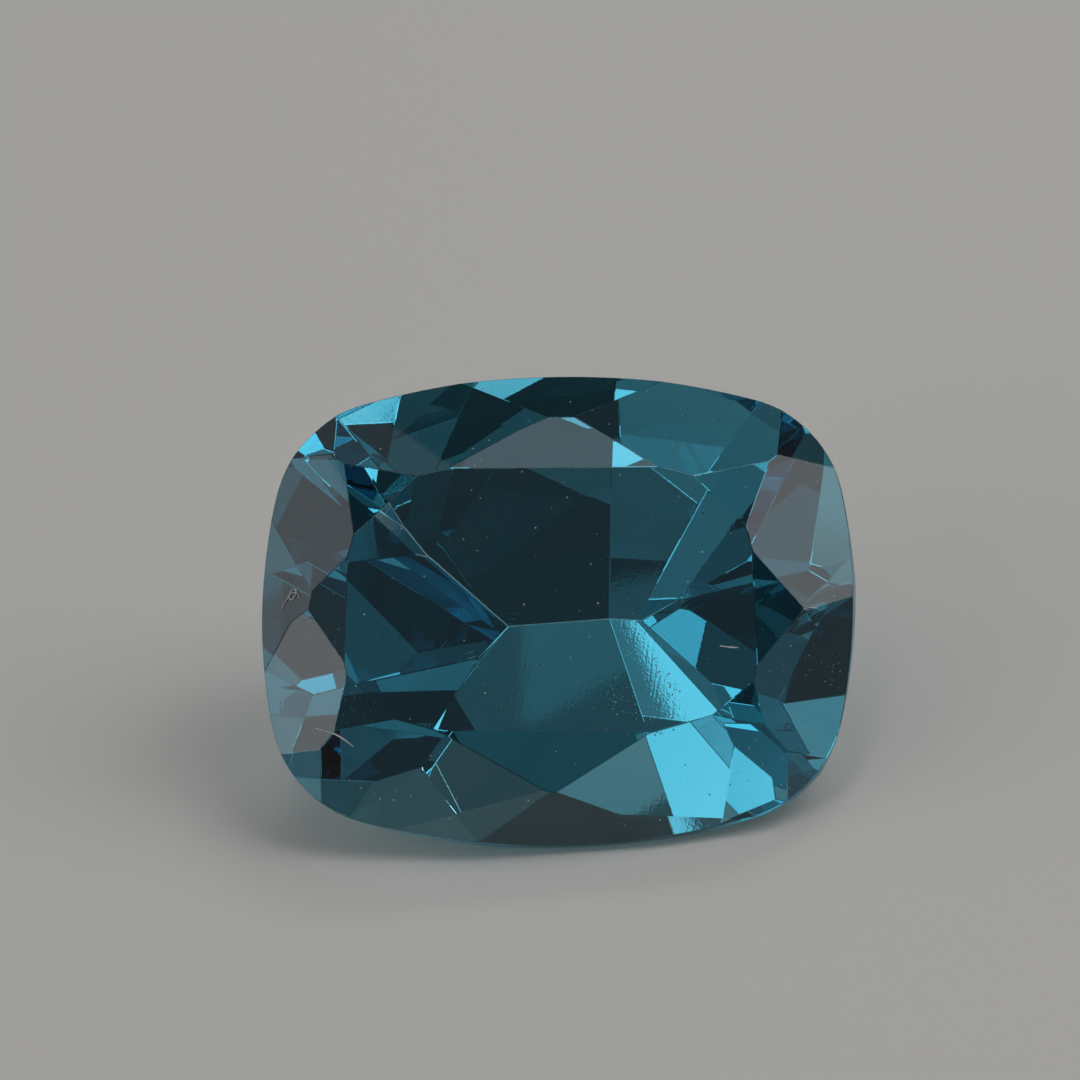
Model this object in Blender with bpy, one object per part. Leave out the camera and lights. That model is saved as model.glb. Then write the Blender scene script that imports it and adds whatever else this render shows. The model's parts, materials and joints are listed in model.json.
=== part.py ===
# One loose cut topaz: a 10 x 8 mm cushion, lying on the south main facet of its pavilion.
# The stone is cut the way a lapidary cuts it. A prism of the girdle's outline is the preform,
# and each facet is one flat cut that takes away all that lies outside its plane.
# It is cut upright in millimetres, with the table up (+Z), the long side along X and the middle
# of the girdle's upper edge at the origin. Then it is tilted over until a pavilion facet is down.

import math

import bmesh
import bpy
from mathutils import Matrix, Vector

# Driving dimensions, in millimetres and degrees
LENGTH = 10.0  # girdle, east to west
WIDTH = 8.0  # girdle, north to south
NORTH_ARC_RADIUS = 12.5  # the long sides bulge on this radius
EAST_ARC_RADIUS = 9.5  # the short sides bulge on this radius
CORNER_RADIUS = 2.1
GIRDLE = 0.30  # girdle thickness where two facets meet at its edge
CROWN_HEIGHT = 0.86  # girdle's upper edge to the table
KEEL_DEPTH = 4.20  # girdle's upper edge to the keel, nearly
REST_AZIMUTH = 275.3  # the south main, the facet that the stone lies on: where it faces
REST_SLOPE = 41.6  # and how steep it is

ARC_STEPS = 14  # straight steps along each of the outline's arcs, a quarter at a time
ROUGH_HALF = 7.0  # half height of the preform before any facet is cut
CUT_TOLERANCE = 1e-6
MM = 0.001  # metres in a millimetre

# Crown facets of one quarter: azimuth from the long axis, slope from the girdle plane, and the
# distance from the centre at which the facet's plane meets the level it is measured on
TABLE_LEVEL = CROWN_HEIGHT
GIRDLE_LEVEL = 0.0
CROWN_QUARTER = {
    "corner_star": (47.7, 16.6, 3.20, TABLE_LEVEL),
    "long_kite": (75.1, 28.6, 4.19, GIRDLE_LEVEL),
    "short_kite": (13.2, 29.9, 5.04, GIRDLE_LEVEL),
    "long_flank": (78.4, 31.6, 4.11, GIRDLE_LEVEL),
    "short_flank": (4.4, 34.3, 4.99, GIRDLE_LEVEL),
    "corner_girdle": (42.6, 37.7, 5.07, GIRDLE_LEVEL),
}
CROWN_MIDDLE = {
    "north_star": (89.6, 17.5, 2.26, TABLE_LEVEL),
    "south_star": (268.6, 14.8, 2.22, TABLE_LEVEL),
    "east_star": (2.7, 22.2, 3.42, TABLE_LEVEL),
    "west_star": (179.0, 22.1, 3.44, TABLE_LEVEL),
    "north_girdle": (89.5, 39.4, 3.87, GIRDLE_LEVEL),
    "south_girdle": (271.6, 41.5, 3.88, GIRDLE_LEVEL),
}

# The hand of the cutter: how far single facets are off the quarter's values
CROWN_ERRORS = {
    ("corner_star", "ne"): (-1.5, 1.2, -0.04),
    ("corner_star", "nw"): (-1.1, -0.5, -0.07),
    ("corner_star", "sw"): (-0.1, -0.6, 0.01),
    ("corner_star", "se"): (2.8, 0.0, 0.06),
    ("long_kite", "ne"): (-0.2, 0.7, -0.02),
    ("long_kite", "nw"): (1.8, 0.1, -0.01),
    ("long_kite", "sw"): (-1.0, -0.2, 0.01),
    ("long_kite", "se"): (-0.7, -0.2, 0.03),
    ("short_kite", "ne"): (0.8, -1.0, 0.0),
    ("short_kite", "nw"): (2.5, -1.1, 0.04),
    ("short_kite", "sw"): (-2.0, 0.7, 0.0),
    ("short_kite", "se"): (-1.2, 2.0, -0.02),
    ("long_flank", "ne"): (0.5, 0.0, 0.02),
    ("long_flank", "nw"): (0.1, -1.8, 0.02),
    ("long_flank", "sw"): (0.2, 0.9, -0.03),
    ("long_flank", "se"): (-1.0, 1.5, 0.01),
    ("short_flank", "ne"): (-1.4, -1.0, 0.03),
    ("short_flank", "nw"): (0.7, -0.1, -0.03),
    ("short_flank", "sw"): (-0.2, 0.0, 0.01),
    ("short_flank", "se"): (0.9, 0.8, -0.01),
    ("corner_girdle", "ne"): (-1.4, 0.9, -0.05),
    ("corner_girdle", "nw"): (2.5, -1.0, 0.0),
    ("corner_girdle", "sw"): (-1.6, -0.2, 0.03),
    ("corner_girdle", "se"): (0.6, 0.7, 0.03),
}

# Pavilion facets, in the same way, measured on the keel's level or under the girdle
KEEL_LEVEL = -KEEL_DEPTH
UNDER_GIRDLE = -GIRDLE
PAVILION_QUARTER = {
    "long_corner": (65.0, 44.5, 4.58, UNDER_GIRDLE),
    "short_corner": (34.0, 43.4, 5.14, UNDER_GIRDLE),
    "corner_break": (49.3, 47.4, 4.90, UNDER_GIRDLE),
    "short_break": (17.6, 47.8, 4.98, UNDER_GIRDLE),
    "long_break": (72.4, 49.8, 4.30, UNDER_GIRDLE),
}
PAVILION_ERRORS = {
    ("long_corner", "ne"): (-1.2, -1.4, -0.08),
    ("long_corner", "nw"): (-0.6, 0.2, 0.12),
    ("long_corner", "sw"): (-0.6, 2.8, 0.03),
    ("long_corner", "se"): (2.7, -0.8, -0.03),
    ("short_corner", "ne"): (1.7, -0.7, -0.04),
    ("short_corner", "nw"): (-2.4, 2.1, 0.04),
    ("short_corner", "sw"): (-8.3, -0.3, -0.05),
    ("short_corner", "se"): (8.3, -1.0, 0.08),
    ("corner_break", "ne"): (2.1, 0.7, 0.0),
    ("corner_break", "nw"): (-4.5, -1.3, 0.14),
    ("corner_break", "sw"): (1.0, 1.3, -0.03),
    ("corner_break", "se"): (1.3, -0.8, 0.08),
    ("short_break", "ne"): (3.9, 1.0, 0.09),
    ("short_break", "nw"): (0.2, -0.2, 0.03),
    ("short_break", "sw"): (-0.3, -1.1, 0.01),
    ("short_break", "se"): (-3.8, 0.2, 0.02),
    ("long_break", "ne"): (-2.2, 1.0, 0.09),
    ("long_break", "nw"): (5.5, -2.7, -0.25),
    ("long_break", "sw"): (1.2, -0.8, -0.02),
    ("long_break", "se"): (-4.7, 2.4, 0.17),
}
PAVILION_MIDDLE = {
    "south_main": (REST_AZIMUTH, REST_SLOPE, 4.03, UNDER_GIRDLE),
    "south_keel": (270.0, 42.0, 0.0, KEEL_LEVEL),
    "north_main": (92.0, 44.8, -0.05, KEEL_LEVEL),
    "north_east_main": (77.5, 44.9, 0.11, KEEL_LEVEL),
    "east_main": (353.9, 39.9, 0.83, KEEL_LEVEL),
    "west_main": (184.4, 43.6, 0.90, KEEL_LEVEL),
    "north_break": (90.0, 43.7, 4.05, UNDER_GIRDLE),
}


def arc(centre, radius, start, end):
    """Points along an arc, angles in radians, without its last point."""
    angles = [start + (end - start) * step / ARC_STEPS for step in range(ARC_STEPS)]
    return [centre + radius * Vector((math.cos(a), math.sin(a))) for a in angles]


def outline():
    """The cushion seen from above: two long arcs, two short ones and four round corners."""
    east = Vector((LENGTH / 2 - EAST_ARC_RADIUS, 0))
    north = Vector((0, WIDTH / 2 - NORTH_ARC_RADIUS))
    # The corner's centre lies where it touches both side arcs from inside
    to_east = EAST_ARC_RADIUS - CORNER_RADIUS
    to_north = NORTH_ARC_RADIUS - CORNER_RADIUS
    between = north - east
    along = (to_east**2 - to_north**2 + between.length_squared) / (2 * between.length)
    aside = math.sqrt(to_east**2 - along**2)
    unit = between.normalized()
    corner = east + along * unit + aside * Vector((-unit.y, unit.x))
    if corner.x < 0:
        corner = east + along * unit - aside * Vector((-unit.y, unit.x))
    low = math.atan2(corner.y - east.y, corner.x - east.x)
    high = math.atan2(corner.y - north.y, corner.x - north.x)
    quarter = arc(east, EAST_ARC_RADIUS, 0, low)
    quarter += arc(corner, CORNER_RADIUS, low, high)
    quarter += arc(north, NORTH_ARC_RADIUS, high, math.pi / 2)
    top = Vector((0, WIDTH / 2))
    left = [Vector((-p.x, p.y)) for p in reversed(quarter)]
    half = quarter + [top] + left
    return half + [Vector((p.x, -p.y)) for p in reversed(half[1:-1])]


def preform():
    """The girdle's outline as a tall prism, ready for the facets."""
    bm = bmesh.new()
    floor = bm.faces.new([bm.verts.new((p.x, p.y, -ROUGH_HALF)) for p in outline()])
    raised = bmesh.ops.extrude_face_region(bm, geom=[floor])["geom"]
    lifted = [v for v in raised if isinstance(v, bmesh.types.BMVert)]
    bmesh.ops.translate(bm, vec=(0, 0, 2 * ROUGH_HALF), verts=lifted)
    bmesh.ops.recalc_face_normals(bm, faces=bm.faces)
    return bm


def cut(bm, side, azimuth, slope, reach, level):
    """One flat facet. side is 1 on the crown and -1 on the pavilion."""
    turn = math.radians(azimuth)
    lean = math.radians(slope)
    outward = Vector((math.cos(turn), math.sin(turn), 0))
    normal = outward * math.sin(lean) + Vector((0, 0, side * math.cos(lean)))
    done = bmesh.ops.bisect_plane(
        bm,
        geom=bm.verts[:] + bm.edges[:] + bm.faces[:],
        dist=CUT_TOLERANCE,
        plane_co=outward * reach + Vector((0, 0, level)),
        plane_no=normal,
        clear_outer=True,
    )
    rim = [e for e in done["geom_cut"] if isinstance(e, bmesh.types.BMEdge)]
    if rim:
        bmesh.ops.contextual_create(bm, geom=rim)


def quarters(azimuth):
    """The same azimuth in each quarter of the stone."""
    return {"ne": azimuth, "nw": 180 - azimuth, "sw": 180 + azimuth, "se": 360 - azimuth}


def cut_quarter_tier(bm, side, name, tier, errors):
    azimuth, slope, reach, level = tier
    for quarter in quarters(azimuth):
        turn_error, slope_error, reach_error = errors.get((name, quarter), (0, 0, 0))
        turned = quarters(azimuth + turn_error)[quarter]
        cut(bm, side, turned, slope + slope_error, reach + reach_error, level)


def cut_stone():
    """The upright stone, in millimetres."""
    bm = preform()
    for name, tier in PAVILION_QUARTER.items():
        cut_quarter_tier(bm, -1, name, tier, PAVILION_ERRORS)
    for tier in PAVILION_MIDDLE.values():
        cut(bm, -1, *tier)
    for name, tier in CROWN_QUARTER.items():
        cut_quarter_tier(bm, 1, name, tier, CROWN_ERRORS)
    for tier in CROWN_MIDDLE.values():
        cut(bm, 1, *tier)
    cut(bm, 1, 0, 0, 0, TABLE_LEVEL)
    return bm


def lay_down(bm):
    """Rolls and tilts the stone onto its south main, in metres, centred over the origin."""
    turn = math.radians(REST_AZIMUTH)
    lean = math.radians(REST_SLOPE)
    down = Vector((math.cos(turn) * math.sin(lean), math.sin(turn) * math.sin(lean), -math.cos(lean)))
    roll = Matrix.Rotation(math.atan2(down.x, -down.z), 4, "Y")
    down = roll @ down
    tilt = Matrix.Rotation(math.atan2(-down.y, -down.z), 4, "X")
    bmesh.ops.transform(bm, matrix=Matrix.Scale(MM, 4) @ tilt @ roll, verts=bm.verts)
    low = [min(v.co[axis] for v in bm.verts) for axis in range(3)]
    high = [max(v.co[axis] for v in bm.verts) for axis in range(3)]
    middle = Vector(((low[0] + high[0]) / 2, (low[1] + high[1]) / 2, low[2]))
    bmesh.ops.translate(bm, vec=-middle, verts=bm.verts)


def topaz_material():
    """Clear teal-blue topaz, polished on every facet."""
    material = bpy.data.materials.new("London blue topaz")
    material.use_nodes = True
    shader = material.node_tree.nodes["Principled BSDF"]
    shader.inputs["Base Color"].default_value = (0.10, 0.33, 0.42, 1)
    shader.inputs["Metallic"].default_value = 0
    shader.inputs["Roughness"].default_value = 0.02
    shader.inputs["IOR"].default_value = 1.62
    shader.inputs["Transmission Weight"].default_value = 1
    return material


def main():
    for old in list(bpy.data.objects):
        bpy.data.objects.remove(old, do_unlink=True)
    stone = cut_stone()
    lay_down(stone)
    mesh = bpy.data.meshes.new("cut_topaz")
    stone.to_mesh(mesh)
    stone.free()
    mesh.materials.append(topaz_material())
    collection = bpy.data.collections.new("cut_topaz")
    bpy.context.scene.collection.children.link(collection)
    collection.objects.link(bpy.data.objects.new("cut_topaz", mesh))


main()
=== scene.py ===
import json
import math

import bmesh
import bpy
from mathutils import Matrix, Vector
from mathutils.bvhtree import BVHTree


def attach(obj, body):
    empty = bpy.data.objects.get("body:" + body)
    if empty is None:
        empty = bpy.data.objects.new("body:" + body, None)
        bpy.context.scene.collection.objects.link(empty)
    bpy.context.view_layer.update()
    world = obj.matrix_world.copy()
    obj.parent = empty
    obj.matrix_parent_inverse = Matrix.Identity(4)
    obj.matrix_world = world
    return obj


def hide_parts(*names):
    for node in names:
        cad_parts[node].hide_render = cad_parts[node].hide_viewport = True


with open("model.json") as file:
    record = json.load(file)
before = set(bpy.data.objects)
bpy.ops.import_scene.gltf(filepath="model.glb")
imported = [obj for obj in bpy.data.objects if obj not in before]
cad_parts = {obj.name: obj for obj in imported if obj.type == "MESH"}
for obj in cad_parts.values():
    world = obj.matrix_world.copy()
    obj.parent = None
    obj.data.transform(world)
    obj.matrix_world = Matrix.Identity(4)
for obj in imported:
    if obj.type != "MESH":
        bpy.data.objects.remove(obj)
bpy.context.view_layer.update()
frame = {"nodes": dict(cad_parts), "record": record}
mm = 0.001
body = "root"

# The stone's own directions, read from its table: east along the girdle, north across it
# and up out of the table
tableMount = next(m for m in frame["record"]["mounts"] if m["name"] == "table")
tableCentre = Vector(tableMount["pos_m"])
stoneUp = Vector(tableMount["axis"]).normalized()
stoneEast = (Vector((1, 0, 0)) - stoneUp.x * stoneUp).normalized()
stoneNorth = stoneUp.cross(stoneEast)


def linearColour(code):
    # an sRGB hex colour as the linear colour that sockets take
    channels = [int(code[i:i + 2], 16) / 255 for i in (1, 3, 5)]
    return [c / 12.92 if c <= 0.04045 else ((c + 0.055) / 1.055) ** 2.4 for c in channels] + [1]


def inputSocket(node, name):
    # by its place, as in i0 or i1, or by its label with _ for each space
    if name[0] == "i" and name[1:].isdigit():
        return node.inputs[int(name[1:])]
    return node.inputs[name.replace("_", " ")]


def addNode(tree, kind, settings=None, **sockets):
    # one node, its settings, and each socket as a value or as a link from another node's output
    node = tree.nodes.new(kind)
    for name, value in (settings or {}).items():
        setattr(node, name, value)
    for name, value in sockets.items():
        socket = inputSocket(node, name)
        if isinstance(value, bpy.types.NodeSocket):
            tree.links.new(value, socket)
        else:
            socket.default_value = value
    return node


def emptyMaterial(name):
    material = bpy.data.materials.new(name)
    material.use_nodes = True
    material.node_tree.nodes.clear()
    return material, material.node_tree


# Camera: where the photo was taken from, in leans from straight above the table
photoView = {
    "eastLean": 7.0,            # degrees, as the next two
    "southLean": 10.2,
    "roll": 0.55,
    "distance": 149.1,          # mm from the table's middle to the lens
    "pixelsPerMm": 59.9,        # at the table
    "tablePixel": (550.1, 600.5),  # where the table's middle falls in the photo
    "imageSize": 1080,          # pixels, across and down
    "sensorWidth": 36.0,        # mm
    "nearest": 0.005,           # metres, as the next one
    "farthest": 10.0,
}


def makeCamera():
    view = photoView
    eastLean, southLean = math.radians(view["eastLean"]), math.radians(view["southLean"])
    toLens = Vector((math.sin(eastLean), -math.sin(southLean), 0))
    toLens.z = math.sqrt(1 - toLens.length_squared)
    back = (toLens.x * stoneEast + toLens.y * stoneNorth + toLens.z * stoneUp).normalized()
    levelTop = (stoneNorth - stoneNorth.dot(back) * back).normalized()
    levelRight = levelTop.cross(back)
    roll = math.radians(view["roll"])
    right = math.cos(roll) * levelRight + math.sin(roll) * levelTop
    top = math.cos(roll) * levelTop - math.sin(roll) * levelRight
    half = view["imageSize"] / 2
    across = (half - view["tablePixel"][0]) / view["pixelsPerMm"]
    down = (half - view["tablePixel"][1]) / view["pixelsPerMm"]
    place = tableCentre + mm * (view["distance"] * back + across * right - down * top)
    data = bpy.data.cameras.new("photoCamera")
    data.sensor_width = view["sensorWidth"]
    data.lens = view["sensorWidth"] * view["pixelsPerMm"] * view["distance"] / view["imageSize"]
    data.clip_start = view["nearest"]
    data.clip_end = view["farthest"]
    camera = bpy.data.objects.new("photoCamera", data)
    camera.matrix_world = Matrix.Translation(place) @ Matrix((right, top, back)).transposed().to_4x4()
    bpy.context.scene.collection.objects.link(camera)
    bpy.context.scene.camera = camera
    return camera


camera = makeCamera()
print("camera placed")


# The stone: a copy of the frame's solid with its triangles joined into facets and every junction softened,
# because even a fine polish leaves facet edges a few microns round, and they catch the light as thin lines
stone = {
    "mergeDistance": 0.0002,    # mm
    "sameFacet": 0.3,           # degrees
    "sliverArea": 0.003,        # square mm
    "sliverPasses": 40,         # at most so many slivers are joined to a facet
    "junction": 5.0,            # degrees: past this an edge is a facet junction
    "edgeRound": 0.011,         # mm
    "edgeSteps": 2,
    "girdleLean": 3.0,          # degrees off upright that a girdle face may be
    "groundFacing": 0.55,       # ground where a face's normal has less than this along the table's
}


def isGirdle(face):
    return abs(face.normal.dot(stoneUp)) < math.sin(math.radians(stone["girdleLean"]))


def joinFacets(bm):
    bmesh.ops.remove_doubles(bm, verts=bm.verts, dist=stone["mergeDistance"] * mm)
    bmesh.ops.dissolve_limit(bm, angle_limit=math.radians(stone["sameFacet"]),
                             verts=bm.verts, edges=bm.edges)
    # slivers left by rounding go to the facet along their longest side
    for _ in range(stone["sliverPasses"]):
        slivers = [f for f in bm.faces if f.calc_area() < stone["sliverArea"] * mm * mm and not isGirdle(f)]
        if not slivers:
            break
        longest = max(slivers[0].edges, key=lambda e: e.calc_length())
        bmesh.ops.dissolve_edges(bm, edges=[longest], use_verts=False)


def makeStone():
    bm = bmesh.new()
    bm.from_mesh(frame["nodes"]["cut_topaz"].data)
    joinFacets(bm)
    print("facets", len([f for f in bm.faces if not isGirdle(f)]))
    junctions = [e for e in bm.edges if math.degrees(e.calc_face_angle(0)) > stone["junction"]
                 and not all(isGirdle(f) for f in e.link_faces)]
    bmesh.ops.bevel(bm, geom=junctions, offset=stone["edgeRound"] * mm, offset_type="OFFSET",
                    segments=stone["edgeSteps"], profile=0.5, affect="EDGES", clamp_overlap=False,
                    loop_slide=True)
    girdle = bm.faces.layers.float.new("girdle")
    for face in bm.faces:
        # the ground finish runs over the rims too
        face[girdle] = 1.0 if abs(face.normal.dot(stoneUp)) < stone["groundFacing"] else 0.0
        face.smooth = isGirdle(face)
    mesh = bpy.data.meshes.new("polishedTopaz")
    bm.to_mesh(mesh)
    bm.free()
    mesh.materials.append(topazMaterial())
    piece = bpy.data.objects.new("polishedTopaz", mesh)
    bpy.context.scene.collection.objects.link(piece)
    return piece


# London blue topaz, cut and polished: clear, glossy and teal where light runs far through it
topaz = {
    "refraction": 1.62,
    "deepColour": "#00D8E8",    # what a long way through the stone leaves of white
    "density": 260.0,           # per metre
    "polish": 0.004,            # roughness of the facets
    "smear": 0.012,             # added where fingers left a film
    "smearSize": 1.6,           # mm
    "smearRange": (0.5, 0.75),  # noise levels between which the film sets in
    "bruted": 0.30,             # roughness of the girdle, which is ground and not polished
    "scratchSpacing": 0.045,    # mm, drawn coarse enough to show
    "scratchDepth": 0.00004,    # mm
    "scratchTurn": (0.4, 0.2, 0.9),  # radians, the way that the polishing lines run
    "scratchStretch": (1, 0.03, 1),  # noise squeezed along one way is drawn out along it
}


def topazMaterial():
    material, tree = emptyMaterial("London blue topaz, polished")
    place = addNode(tree, "ShaderNodeTexCoord").outputs["Object"]
    smear = addNode(tree, "ShaderNodeTexNoise", {"noise_dimensions": "3D"}, Vector=place,
                    Scale=1 / (topaz["smearSize"] * mm), Detail=3.0, Roughness=0.6).outputs[0]
    film = addNode(tree, "ShaderNodeMapRange", Value=smear,
                   From_Min=topaz["smearRange"][0], From_Max=topaz["smearRange"][1],
                   To_Min=topaz["polish"], To_Max=topaz["polish"] + topaz["smear"]).outputs[0]
    girdle = addNode(tree, "ShaderNodeAttribute", {"attribute_name": "girdle"}).outputs["Fac"]
    rough = addNode(tree, "ShaderNodeMix", {"data_type": "FLOAT"}, i0=girdle, i2=film, i3=topaz["bruted"])
    # polishing lines: noise drawn out along one way across the stone
    turned = addNode(tree, "ShaderNodeMapping", Vector=place, Rotation=topaz["scratchTurn"],
                     Scale=topaz["scratchStretch"])
    lines = addNode(tree, "ShaderNodeTexNoise", Vector=turned.outputs[0],
                    Scale=1 / (topaz["scratchSpacing"] * mm), Detail=2.0, Roughness=0.5)
    bump = addNode(tree, "ShaderNodeBump", Height=lines.outputs[0], Strength=1.0,
                   Distance=topaz["scratchDepth"] * mm)
    shader = addNode(tree, "ShaderNodeBsdfPrincipled", Base_Color=linearColour("#FFFFFF"),
                     IOR=topaz["refraction"], Roughness=rough.outputs[0], Normal=bump.outputs[0],
                     Transmission_Weight=1.0)
    depth = addNode(tree, "ShaderNodeVolumeAbsorption", Color=linearColour(topaz["deepColour"]),
                    Density=topaz["density"])
    addNode(tree, "ShaderNodeOutputMaterial", Surface=shader.outputs[0], Volume=depth.outputs[0])
    return material


polishedTopaz = makeStone()
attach(polishedTopaz, body)
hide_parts("cut_topaz")
print("stone done", len(polishedTopaz.data.polygons), "faces")


# Places on and in the stone that are known by their pixel in the photo
stoneTree = BVHTree.FromObject(polishedTopaz, bpy.context.evaluated_depsgraph_get())


def sightLine(pixel):
    # the lens and the way from it through one pixel of the photo
    right, top, back = (camera.matrix_world.to_3x3().col[i] for i in range(3))
    focal = photoView["pixelsPerMm"] * photoView["distance"]
    half = photoView["imageSize"] / 2
    way = right * (pixel[0] - half) / focal - top * (pixel[1] - half) / focal - back
    return camera.matrix_world.translation, way.normalized()


def onStone(pixel, lift):
    # the spot on the stone's surface behind a pixel, raised by so many millimetres
    start, way = sightLine(pixel)
    spot, normal, _, _ = stoneTree.ray_cast(start, way)
    return spot + normal * lift * mm


def inStone(pixel, depth):
    # the spot so many millimetres inside, along the sight line after it bends at the surface
    start, way = sightLine(pixel)
    spot, normal, _, _ = stoneTree.ray_cast(start, way)
    ratio = 1 / topaz["refraction"]
    facing = -way.dot(normal)
    bent = ratio * way + (ratio * facing - math.sqrt(1 - ratio ** 2 * (1 - facing ** 2))) * normal
    return spot + bent.normalized() * depth * mm


def newPiece(name, mesh, material=None):
    if material:
        mesh.materials.clear()
        mesh.materials.append(material)
    piece = bpy.data.objects.new(name, mesh)
    bpy.context.scene.collection.objects.link(piece)
    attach(piece, body)
    return piece


# Lint: short cotton fibres that settled on the crown, matt and nearly white, with a soft uneven tint.
# Each fibre has its radius, its lift off the stone in mm, and the pixels of the photo that it runs through
lint = {
    "sides": 8,
    "stepsPerSpan": 6,
    "paleTint": "#F7F2EF",
    "darkTint": "#C9C4C2",
    "tintSize": 0.05,           # mm
    "roughness": 0.7,
    "sheen": 0.3,
    "fibres": {
        "curl": (0.011, 0.004, [(282.6, 609.2), (283.9, 604.4), (286.8, 600.5), (289.7, 595.8),
                                (292.9, 590.0), (296.4, 590.0), (296.0, 594.8), (292.9, 599.6),
                                (289.7, 598.6), (291.6, 593.5), (295.4, 592.9), (298.3, 594.2),
                                (299.6, 598.1)]),
        "long": (0.015, 0.010, [(316.4, 728.6), (325.0, 730.6), (335.6, 733.9), (345.5, 739.8),
                                (353.8, 746.4)]),
        "dash": (0.014, 0.002, [(719.8, 645.9), (729.5, 647.4), (738.9, 647.8)]),
        "stub": (0.012, 0.002, [(803.9, 606.3), (810.5, 607.8), (817.3, 608.2)]),
    },
}

# A fibre or a needle: a flattened, slowly twisting tube that thins at both ends
strand = {
    "endSize": 0.55,            # radius at either end, as a share of the middle's
    "bluntness": 0.4,           # the lower this power, the later it thins
    "twist": 5.0,               # radians from end to end
    "flattened": 0.35,          # share of the radius that is missing on the flat sides
}


def smoothRoute(points, steps):
    # a curve through every point
    ends = [2 * points[0] - points[1]] + points + [2 * points[-1] - points[-2]]
    route = []
    for a, b, c, d in zip(ends, ends[1:], ends[2:], ends[3:]):
        for i in range(steps):
            t = i / steps
            route.append(0.5 * (2 * b + (c - a) * t + (2 * a - 5 * b + 4 * c - d) * t ** 2
                                + (3 * b - a - 3 * c + d) * t ** 3))
    return route + [points[-1]]


def addStrand(bm, route, radius, sides):
    rings = []
    for i, spot in enumerate(route):
        ahead = (route[min(i + 1, len(route) - 1)] - route[max(i - 1, 0)]).normalized()
        aside = ahead.cross(stoneUp).normalized()
        over = aside.cross(ahead)
        share = i / (len(route) - 1)
        swell = math.sin(math.pi * share) ** strand["bluntness"]
        size = radius * mm * (strand["endSize"] + (1 - strand["endSize"]) * swell)
        twist = strand["twist"] * share
        ring = []
        for k in range(sides):
            turn = 2 * math.pi * k / sides
            flat = 1 - strand["flattened"] * math.sin(turn + twist) ** 2
            ring.append(bm.verts.new(spot + size * flat * (math.cos(turn) * aside + math.sin(turn) * over)))
        rings.append(ring)
    for one, two in zip(rings, rings[1:]):
        for k in range(sides):
            bm.faces.new((one[k], one[(k + 1) % sides], two[(k + 1) % sides], two[k]))
    bm.faces.new(list(reversed(rings[0])))
    bm.faces.new(rings[-1])


def lintMaterial():
    # cotton: matt, with a faint halo of loose fibre ends
    material, tree = emptyMaterial("cotton lint")
    place = addNode(tree, "ShaderNodeTexCoord").outputs["Object"]
    blotch = addNode(tree, "ShaderNodeTexNoise", Vector=place, Scale=1 / (lint["tintSize"] * mm),
                     Detail=2.0).outputs[0]
    tint = addNode(tree, "ShaderNodeMix", {"data_type": "RGBA"}, i0=blotch,
                   i6=linearColour(lint["paleTint"]), i7=linearColour(lint["darkTint"]))
    shader = addNode(tree, "ShaderNodeBsdfPrincipled", Base_Color=tint.outputs[2],
                     Roughness=lint["roughness"], Sheen_Weight=lint["sheen"])
    addNode(tree, "ShaderNodeOutputMaterial", Surface=shader.outputs[0])
    return material


def makeLint():
    material = lintMaterial()
    for name, (radius, lift, pixels) in lint["fibres"].items():
        route = smoothRoute([onStone(p, radius + lift) for p in pixels], lint["stepsPerSpan"])
        bm = bmesh.new()
        addStrand(bm, route, radius, lint["sides"])
        bmesh.ops.recalc_face_normals(bm, faces=bm.faces)
        mesh = bpy.data.meshes.new(name + "Lint")
        bm.to_mesh(mesh)
        bm.free()
        mesh.shade_smooth()
        newPiece(name + "Lint", mesh, material)


makeLint()
print("lint done")


# Specks, scattered over a surface by one node tree: dust on the crown and gas-filled flakes inside.
# Density is per square metre, smallest and largest are radii in mm, and flatness is thickness by width
specks = {
    "dust": {"density": 3.2e6, "smallest": 0.004, "largest": 0.017, "flatness": 0.6, "seed": 11},
    "rubbed": {"density": 2.4e8, "smallest": 0.002, "largest": 0.008, "flatness": 0.5, "seed": 3},
    "grit": {"density": 6.0e7, "smallest": 0.003, "largest": 0.010, "flatness": 0.5, "seed": 8},
    "flakes": {"density": 2.2e8, "smallest": 0.004, "largest": 0.019, "flatness": 0.3, "seed": 5},
}
speckShape = {
    "dentScale": 1.3,           # of the noise that dents a ball of radius 1
    "dentDepth": 1.6,           # how far the noise pushes
    "rarity": 3.0,              # the higher this power, the fewer large ones
    "tilt": 0.6,                # radians off the surface
}


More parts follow.
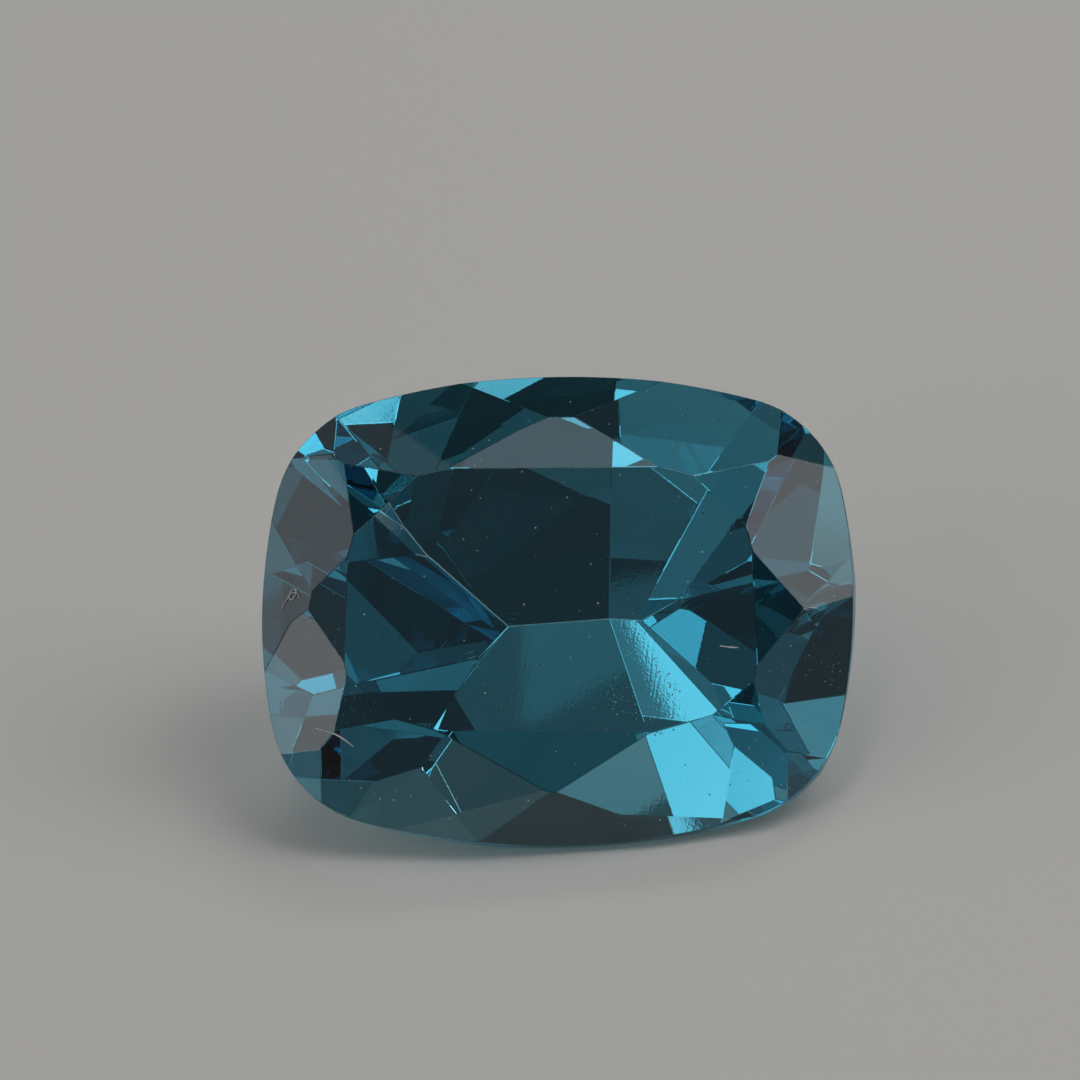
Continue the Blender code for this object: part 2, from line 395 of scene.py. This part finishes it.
def scatterTree():
    tree = bpy.data.node_groups.new("scatterSpecks", "GeometryNodeTree")
    face = tree.interface
    face.new_socket("Geometry", in_out="INPUT", socket_type="NodeSocketGeometry")
    for name in ("Density", "Smallest", "Largest", "Flatness"):
        face.new_socket(name, in_out="INPUT", socket_type="NodeSocketFloat")
    face.new_socket("Seed", in_out="INPUT", socket_type="NodeSocketInt")
    face.new_socket("Material", in_out="INPUT", socket_type="NodeSocketMaterial")
    face.new_socket("Geometry", in_out="OUTPUT", socket_type="NodeSocketGeometry")
    given = tree.nodes.new("NodeGroupInput").outputs
    spots = addNode(tree, "GeometryNodeDistributePointsOnFaces", Mesh=given["Geometry"],
                    Density=given["Density"], Seed=given["Seed"])
    grain = addNode(tree, "GeometryNodeMeshIcoSphere", Radius=1.0, Subdivisions=2)
    dents = addNode(tree, "ShaderNodeTexNoise", Scale=speckShape["dentScale"], Detail=1.0)
    centred = addNode(tree, "ShaderNodeVectorMath", {"operation": "SUBTRACT"}, i0=dents.outputs["Color"],
                      i1=(0.5, 0.5, 0.5))
    pushed = addNode(tree, "ShaderNodeVectorMath", {"operation": "SCALE"}, i0=centred.outputs[0],
                     Scale=speckShape["dentDepth"])
    shaped = addNode(tree, "GeometryNodeSetPosition", Geometry=grain.outputs[0], Offset=pushed.outputs[0])
    chance = addNode(tree, "FunctionNodeRandomValue", {"data_type": "FLOAT"}, i2=0.0, i3=1.0,
                     Seed=given["Seed"])
    rare = addNode(tree, "ShaderNodeMath", {"operation": "POWER"}, i0=chance.outputs[1],
                   i1=speckShape["rarity"])
    size = addNode(tree, "ShaderNodeMapRange", Value=rare.outputs[0], To_Min=given["Smallest"],
                   To_Max=given["Largest"])
    thin = addNode(tree, "ShaderNodeMath", {"operation": "MULTIPLY"}, i0=size.outputs[0],
                   i1=given["Flatness"])
    scale = addNode(tree, "ShaderNodeCombineXYZ", X=size.outputs[0], Y=size.outputs[0], Z=thin.outputs[0])
    tilt = speckShape["tilt"]
    turn = addNode(tree, "FunctionNodeRandomValue", {"data_type": "FLOAT_VECTOR"},
                   i0=(-tilt, -tilt, -math.pi), i1=(tilt, tilt, math.pi), Seed=given["Seed"])
    tipped = addNode(tree, "FunctionNodeEulerToRotation", Euler=turn.outputs[0])
    aligned = addNode(tree, "FunctionNodeRotateRotation", {"rotation_space": "LOCAL"},
                      Rotation=spots.outputs["Rotation"], Rotate_By=tipped.outputs[0])
    placed = addNode(tree, "GeometryNodeInstanceOnPoints", Points=spots.outputs["Points"],
                     Instance=shaped.outputs[0], Rotation=aligned.outputs[0], Scale=scale.outputs[0])
    real = addNode(tree, "GeometryNodeRealizeInstances", Geometry=placed.outputs[0])
    painted = addNode(tree, "GeometryNodeSetMaterial", Geometry=real.outputs[0], Material=given["Material"])
    out = tree.nodes.new("NodeGroupOutput")
    tree.links.new(painted.outputs[0], out.inputs[0])
    return tree


def scatter(name, surface, tree, sizes, material):
    # runs the tree on a surface and keeps what it made as a plain mesh
    carrier = bpy.data.objects.new(name + "Carrier", surface)
    bpy.context.scene.collection.objects.link(carrier)
    maker = carrier.modifiers.new("specks", "NODES")
    maker.node_group = tree
    values = {"Density": sizes["density"], "Smallest": sizes["smallest"] * mm,
              "Largest": sizes["largest"] * mm, "Flatness": sizes["flatness"], "Seed": sizes["seed"],
              "Material": material}
    for label, value in values.items():
        maker[tree.interface.items_tree[label].identifier] = value
    shown = carrier.evaluated_get(bpy.context.evaluated_depsgraph_get())
    mesh = bpy.data.meshes.new_from_object(shown)
    mesh.name = name
    carrier.modifiers.remove(maker)
    bpy.data.objects.remove(carrier)
    bpy.data.meshes.remove(surface)
    return newPiece(name, mesh)


# Where dust lies: on faces whose normal has at least this along the table's, in patches where it was
# rubbed together, as outlines in the photo, and as the largest grains, each a pixel and a radius in mm
crownFacing = 0.4
dustPatches = {
    "rubbed": [(337, 706), (352, 692), (372, 700), (381, 716), (368, 734), (345, 731)],
    "grit": [(774, 640), (806, 632), (842, 660), (838, 690), (800, 684), (776, 668)],
}
largeGrains = {
    "spots": [((394, 800), 0.021), ((356, 686), 0.017), ((612, 456), 0.014), ((838, 486), 0.016),
              ((527, 454), 0.013)],
    "lift": 0.4,                # radii
    "lumps": 0.28,              # radii
    "lumpTurn": 2.3,            # radians from one point of the ball to the next
}


def crownSurface():
    bm = bmesh.new()
    bm.from_mesh(polishedTopaz.data)
    away = [f for f in bm.faces if f.normal.dot(stoneUp) < crownFacing]
    bmesh.ops.delete(bm, geom=away, context="FACES")
    mesh = bpy.data.meshes.new("crownSurface")
    bm.to_mesh(mesh)
    bm.free()
    mesh.materials.clear()
    return mesh


def fanSurface(name, rim):
    # a small surface within a ring of places
    patch = bpy.data.meshes.new(name)
    patch.from_pydata([sum(rim, Vector()) / len(rim)] + rim, [],
                      [(0, i + 1, (i + 1) % len(rim) + 1) for i in range(len(rim))])
    return patch


def makeDustPatches(tree, material):
    for name, pixels in dustPatches.items():
        rim = [onStone(p, specks[name]["smallest"] / 2) for p in pixels]
        scatter(name + "Dust", fanSurface(name + "Patch", rim), tree, specks[name], material)
    bm = bmesh.new()
    for pixel, radius in largeGrains["spots"]:
        spot = onStone(pixel, radius * largeGrains["lift"])
        made = bmesh.ops.create_icosphere(bm, subdivisions=2, radius=radius * mm,
                                          matrix=Matrix.Translation(spot))
        for k, vert in enumerate(made["verts"]):
            lump = largeGrains["lumps"] * (math.sin(k * largeGrains["lumpTurn"] + pixel[0]) - 1)
            vert.co = spot + (vert.co - spot) * (1 + lump)
    grains = bpy.data.meshes.new("largeGrains")
    bm.to_mesh(grains)
    bm.free()
    newPiece("largeGrains", grains, material)


# Room dust, skin and textile grit: dull, and paler or darker grey from grain to grain
roomDust = {
    "paleTint": "#E9E6E1",
    "darkTint": "#A29D98",
    "tintSize": 0.3,            # mm
    "roughness": 0.85,
}


def dustMaterial():
    material, tree = emptyMaterial("room dust")
    place = addNode(tree, "ShaderNodeTexCoord").outputs["Object"]
    kind = addNode(tree, "ShaderNodeTexNoise", Vector=place, Scale=1 / (roomDust["tintSize"] * mm),
                   Detail=0.0).outputs[0]
    tint = addNode(tree, "ShaderNodeMix", {"data_type": "RGBA"}, i0=kind,
                   i6=linearColour(roomDust["paleTint"]), i7=linearColour(roomDust["darkTint"]))
    shader = addNode(tree, "ShaderNodeBsdfPrincipled", Base_Color=tint.outputs[2],
                     Roughness=roomDust["roughness"])
    addNode(tree, "ShaderNodeOutputMaterial", Surface=shader.outputs[0])
    return material


# Inclusions: a healed crack full of tiny flakes under the lower right of the table, and a comb
# of short needles, both placed by pixels of the photo
inclusions = {
    "veilDepth": 1.3,           # mm inside the stone
    "veilPixels": [(598, 690), (628, 664), (672, 672), (690, 704), (655, 722), (610, 716)],
    "veilRipple": 0.12,         # mm that its corners lie deeper or less deep
    "veilRippleTurn": 2.1,      # radians from one corner to the next
    "combDepth": 1.6,           # mm inside the stone
    "combPixels": [(469.5, 652.6), (472.4, 657.4), (474.7, 662.6), (476.6, 667.5)],
    "needleLength": 0.15,       # mm
    "needleRadius": 0.007,      # mm
    "needleSlant": 0.35,        # to the north for each 1 to the east
    "needleSides": 6,
    "needleSpots": (-1, -0.4, 0.4, 1),  # places of its rings, in half lengths from the middle
}


def gasMaterial():
    # a gas-filled flake in topaz reflects nearly all light, so it shows as a small pale, silvery fleck
    material, tree = emptyMaterial("gas inclusion")
    shader = addNode(tree, "ShaderNodeBsdfPrincipled", Base_Color=linearColour("#F2F8F8"), Metallic=0.4,
                     Roughness=0.35)
    addNode(tree, "ShaderNodeOutputMaterial", Surface=shader.outputs[0])
    return material


def makeInclusions(tree):
    gas = gasMaterial()
    rim = []
    for i, pixel in enumerate(inclusions["veilPixels"]):
        ripple = inclusions["veilRipple"] * math.sin(i * inclusions["veilRippleTurn"])
        rim.append(inStone(pixel, inclusions["veilDepth"] + ripple))
    scatter("healedVeil", fanSurface("veilPatch", rim), tree, specks["flakes"], gas)
    bm = bmesh.new()
    along = (stoneEast + inclusions["needleSlant"] * stoneNorth).normalized()
    along = along * inclusions["needleLength"] * mm / 2
    for pixel in inclusions["combPixels"]:
        spot = inStone(pixel, inclusions["combDepth"])
        route = [spot + along * t for t in inclusions["needleSpots"]]
        addStrand(bm, route, inclusions["needleRadius"], inclusions["needleSides"])
    bmesh.ops.recalc_face_normals(bm, faces=bm.faces)
    comb = bpy.data.meshes.new("needleComb")
    bm.to_mesh(comb)
    bm.free()
    newPiece("needleComb", comb, gas)


specksTree = scatterTree()
dust = dustMaterial()
crownDust = scatter("crownDust", crownSurface(), specksTree, specks["dust"], dust)
makeDustPatches(specksTree, dust)
makeInclusions(specksTree)
print("dust and inclusions done", len(crownDust.data.polygons))


# Floor: matt off-white card, with the film of air that it leaves under a polished facet,
# so that the facet still mirrors inside the stone
floor = {
    "width": 3.0,               # metres
    "gap": 0.01,                # mm
    "colour": "#F1EFEB",
    "roughness": 0.9,
}


def makeFloor():
    half, low = floor["width"] / 2, -floor["gap"] * mm
    mesh = bpy.data.meshes.new("studioFloor")
    corners = [(-half, -half, low), (half, -half, low), (half, half, low), (-half, half, low)]
    mesh.from_pydata(corners, [], [(0, 1, 2, 3)])
    material, tree = emptyMaterial("matte card")
    shader = addNode(tree, "ShaderNodeBsdfPrincipled", Base_Color=linearColour(floor["colour"]),
                     Roughness=floor["roughness"])
    addNode(tree, "ShaderNodeOutputMaterial", Surface=shader.outputs[0])
    mesh.materials.append(material)
    board = bpy.data.objects.new("studioFloor", mesh)
    bpy.context.scene.collection.objects.link(board)


# Softboxes: azimuth from straight in front of the stone towards east, elevation, the width and height
# that they span as seen from the stone, all in degrees, and their brightness against white.
# They were fitted so that each facet shows about the brightness that it has in the photo
softboxes = {
    "westLow": (-67, 12, 15, 17, 1.47),
    "westFront": (-49, 26, 10, 13, 1.03),
    "westMiddle": (-88, 26, 15, 19, 0.73),
    "frontGleam": (-41, 50, 9, 10, 1.10),
    "frontTop": (10, 56, 27, 11, 0.08),
    "westBack": (-117, 44, 31, 50, 0.25),
    "roofEast": (125, 79, 55, 38, 0.06),
    "backHigh": (166, 47, 22, 10, 3.00),
    "backLow": (159, 31, 54, 26, 0.07),
    "eastTop": (116, 55, 13, 40, 1.61),
    "westFill": (-68, 31, 42, 56, 0.19),
    "frontFill": (-28, 35, 33, 33, 0.09),
    "eastLow": (88, 18, 50, 24, 0.21),
    "overhead": (-104, 88, 53, 13, 0.90),
    "eastHigh": (93, 45, 22, 42, 1.62),
}
softboxDistance = 0.35          # metres


def makeSoftboxes():
    for name, (azimuth, elevation, wide, high, bright) in softboxes.items():
        turn, rise = math.radians(azimuth), math.radians(elevation)
        way = Vector((math.sin(turn) * math.cos(rise), -math.cos(turn) * math.cos(rise), math.sin(rise)))
        data = bpy.data.lights.new(name + "Softbox", "AREA")
        data.shape = "RECTANGLE"
        data.size = 2 * softboxDistance * math.tan(math.radians(wide / 2))
        data.size_y = 2 * softboxDistance * math.tan(math.radians(high / 2))
        data.energy = bright * math.pi * data.size * data.size_y
        lamp = bpy.data.objects.new(name + "Softbox", data)
        facing = way.to_track_quat("Z", "Y").to_matrix().to_4x4()
        lamp.matrix_world = Matrix.Translation(way * softboxDistance) @ facing
        lamp.visible_camera = False
        bpy.context.scene.collection.objects.link(lamp)


# The room: dim walls over a brighter band along the horizon
room = {
    "horizon": 0.20,
    "walls": 0.037,
    "horizonTop": 6.0,          # degrees
    "tint": "#F4F6F8",
}


def makeRoom():
    world = bpy.data.worlds.new("studioRoom")
    world.use_nodes = True
    tree = world.node_tree
    tree.nodes.clear()
    way = addNode(tree, "ShaderNodeTexCoord").outputs["Generated"]
    rise = addNode(tree, "ShaderNodeSeparateXYZ", Vector=way).outputs["Z"]
    top = math.sin(math.radians(room["horizonTop"]))
    glow = addNode(tree, "ShaderNodeMapRange", {"interpolation_type": "SMOOTHSTEP"}, Value=rise,
                   From_Min=0.0, From_Max=top, To_Min=room["horizon"], To_Max=room["walls"])
    sky = addNode(tree, "ShaderNodeBackground", Color=linearColour(room["tint"]), Strength=glow.outputs[0])
    addNode(tree, "ShaderNodeOutputWorld", Surface=sky.outputs[0])
    bpy.context.scene.world = world


makeFloor()
makeSoftboxes()
makeRoom()
# light crosses a faceted stone many times before it leaves
bpy.context.scene.cycles.max_bounces = 11
bpy.context.scene.cycles.glossy_bounces = 9
bpy.context.scene.cycles.transmission_bounces = 9
bpy.context.scene.view_settings.view_transform = "Standard"
print("floor and light done")
